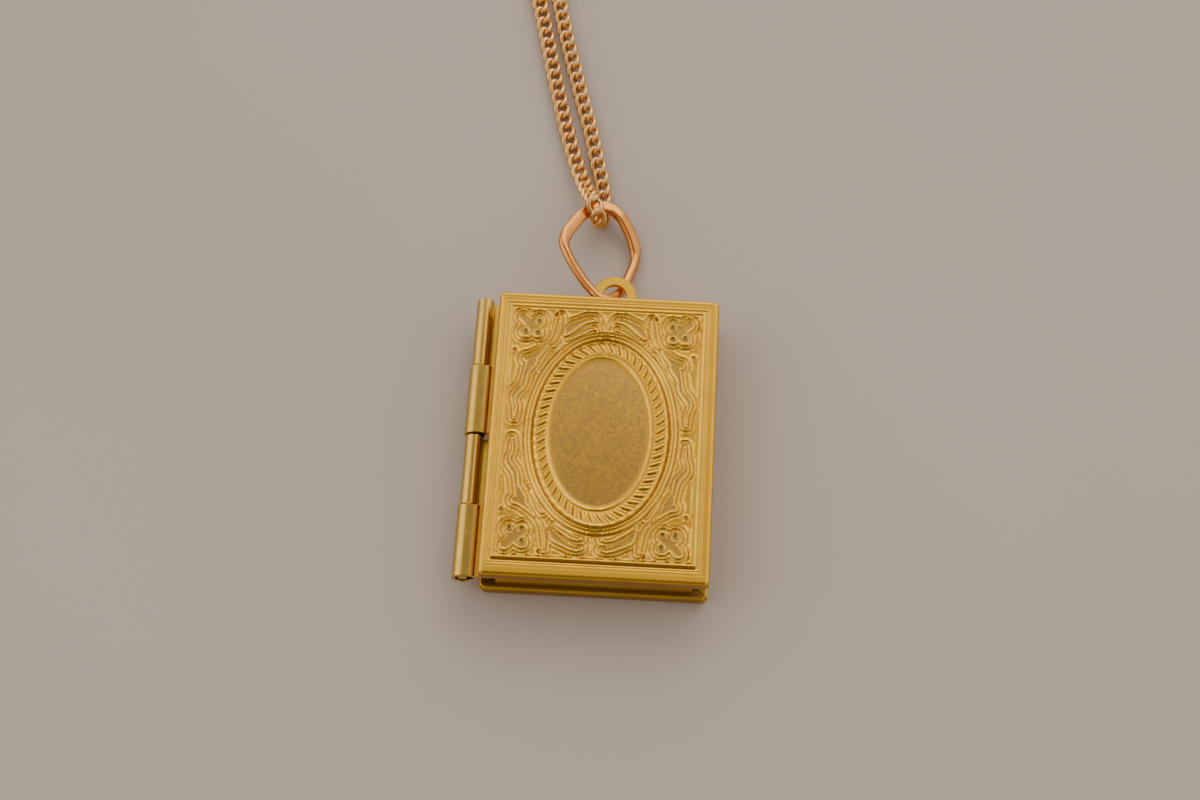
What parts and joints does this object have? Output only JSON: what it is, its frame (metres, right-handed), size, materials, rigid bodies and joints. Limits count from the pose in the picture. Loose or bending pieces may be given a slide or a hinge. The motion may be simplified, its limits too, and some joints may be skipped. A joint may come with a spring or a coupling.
{
  "type": "book locket on a curb chain",
  "caption": "Book-shaped stamped brass locket with a side hinge, loop tab, bent bail and a closed curb chain necklace.",
  "frame": {"origin": "middle of the back cover's flat outer face, on the surface that the locket lies on", "axes": "+X from the hinge to the fore edge, +Y from the foot of the covers to the loop, +Z from the back face up through the front cover"},
  "size_m": [0.0964, 0.2223, 0.005],
  "materials": {
    "case_brass": "satin raw brass, finely sanded grain",
    "pin_brass": "drawn brass wire",
    "bail_copper": "polished copper-gold wire",
    "chain_metal": "polished pale copper-gold"
  },
  "bodies": {
    "back": {"back_cover": "case_brass", "hinge_pin": "pin_brass", "bail": "bail_copper", "chain": "chain_metal", "clasp": "chain_metal"},
    "front": {"front_cover": "case_brass"}
  },
  "joints": [
    {"name": "cover_hinge", "type": "hinge", "parent": "back", "child": "front", "pos_m": [-0.01085, 0, 0.0025], "axis": [0, -1, 0], "range_deg": [0, 180]}
  ]
}
